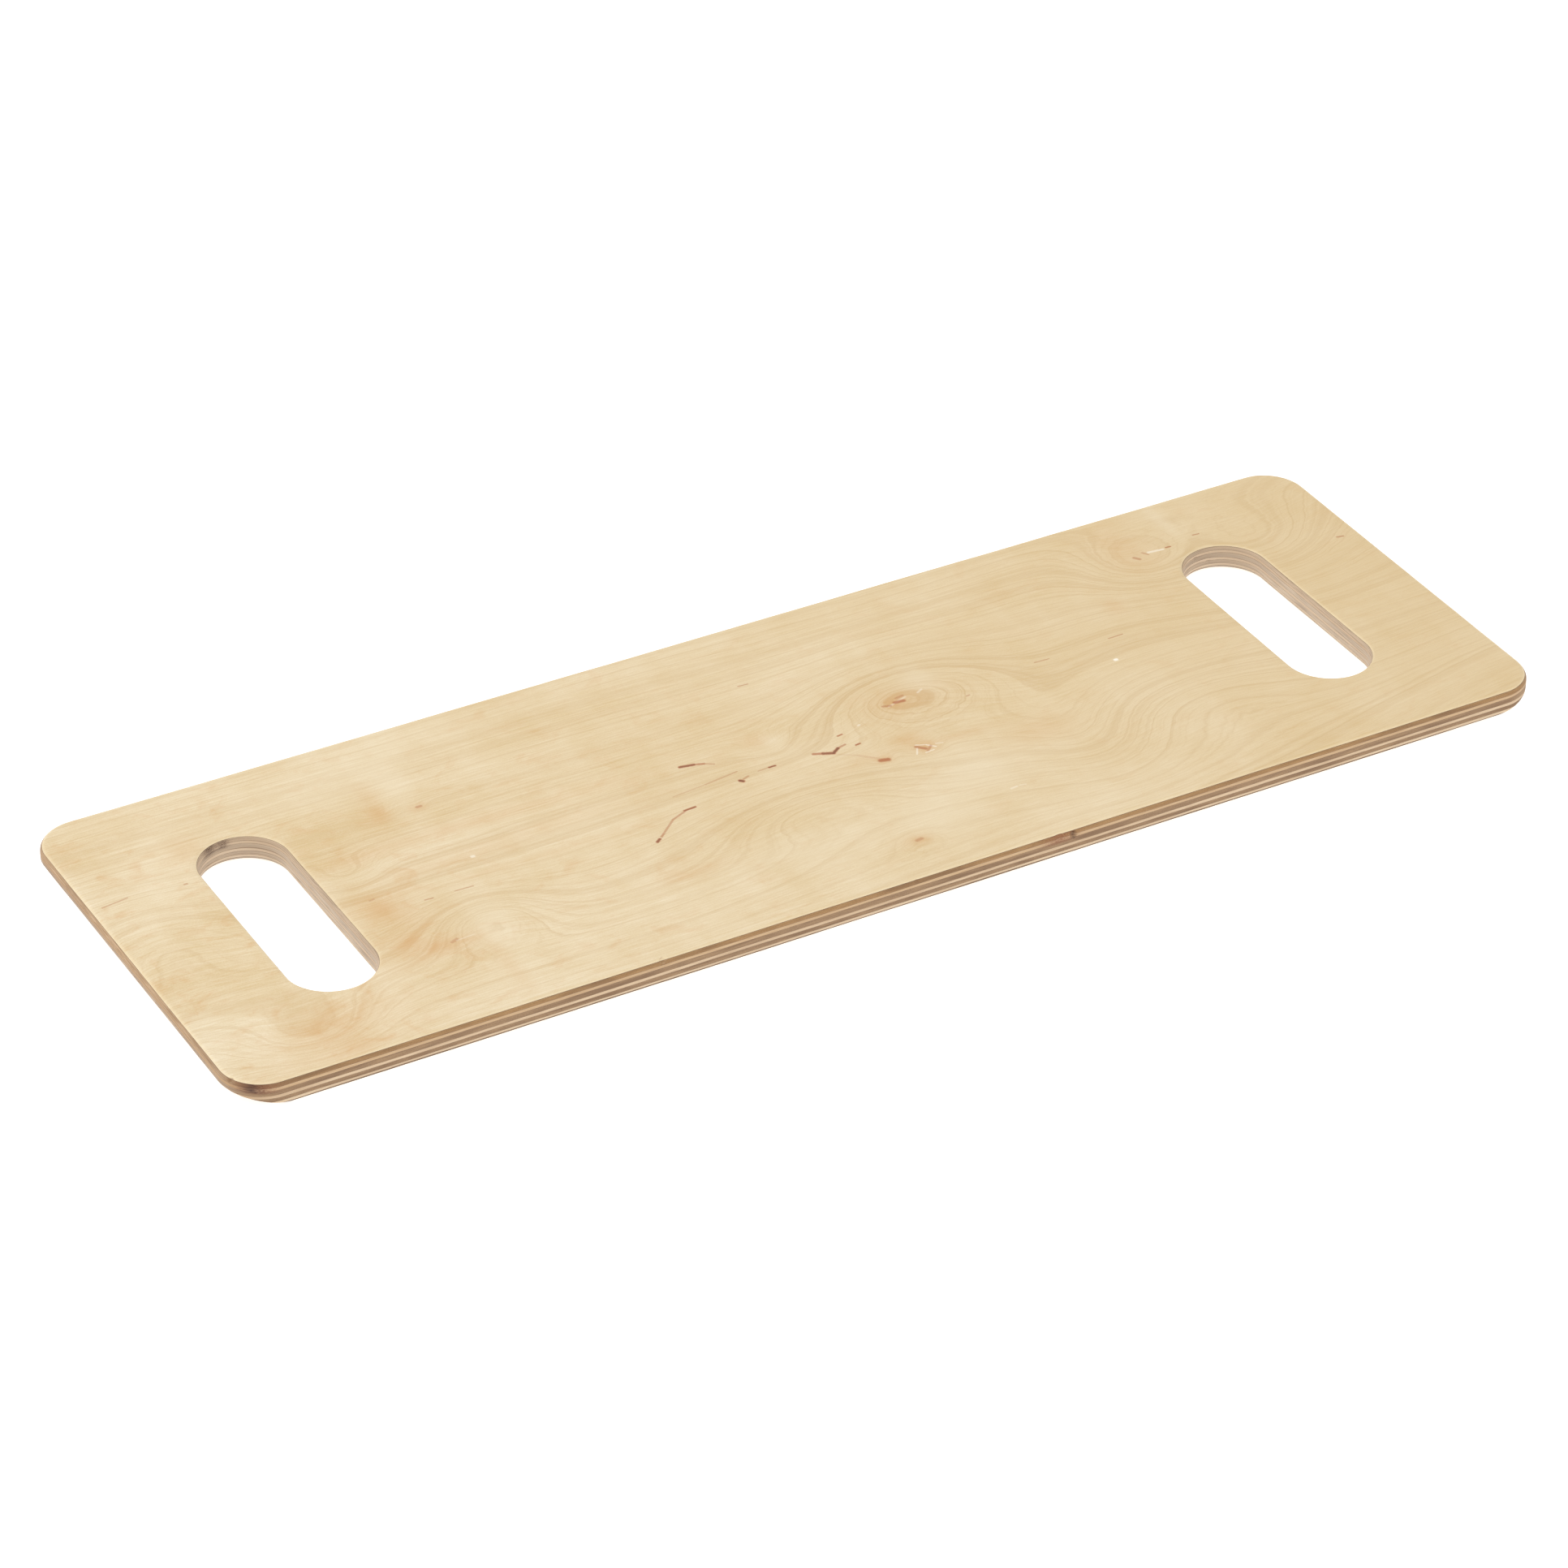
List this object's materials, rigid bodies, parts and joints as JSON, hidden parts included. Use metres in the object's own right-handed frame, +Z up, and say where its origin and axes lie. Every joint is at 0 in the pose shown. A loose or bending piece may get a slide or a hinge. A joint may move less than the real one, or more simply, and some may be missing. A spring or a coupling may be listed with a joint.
{
  "type": "transfer board",
  "caption": "Flat plywood transfer board with rounded corners, an oblong hand slot through each end and both short ends bevelled underneath.",
  "frame": {"origin": "centre of the underside", "axes": "+X along the board, +Y across it, +Z up out of the sitting face"},
  "size_m": [0.61, 0.203, 0.012],
  "materials": {
    "face_birch": "fine-sanded rotary-cut birch under a clear satin lacquer",
    "cross_birch": "sawn and sanded birch veneer edge, grain across the board, under thin lacquer",
    "long_birch": "sawn and sanded birch veneer edge, grain along the board, under thin lacquer",
    "phenolic_glue": "cured phenolic resin film"
  },
  "bodies": {
    "root": {"bottom_face_veneer": "face_birch", "glue_film_1": "phenolic_glue", "lower_outer_cross_veneer": "cross_birch", "glue_film_2": "phenolic_glue", "lower_long_veneer": "long_birch", "glue_film_3": "phenolic_glue", "lower_inner_cross_veneer": "cross_birch", "glue_film_4": "phenolic_glue", "core_long_veneer": "long_birch", "glue_film_5": "phenolic_glue", "upper_inner_cross_veneer": "cross_birch", "glue_film_6": "phenolic_glue", "upper_long_veneer": "long_birch", "glue_film_7": "phenolic_glue", "upper_outer_cross_veneer": "cross_birch", "glue_film_8": "phenolic_glue", "top_face_veneer": "face_birch"}
  },
  "joints": []
}
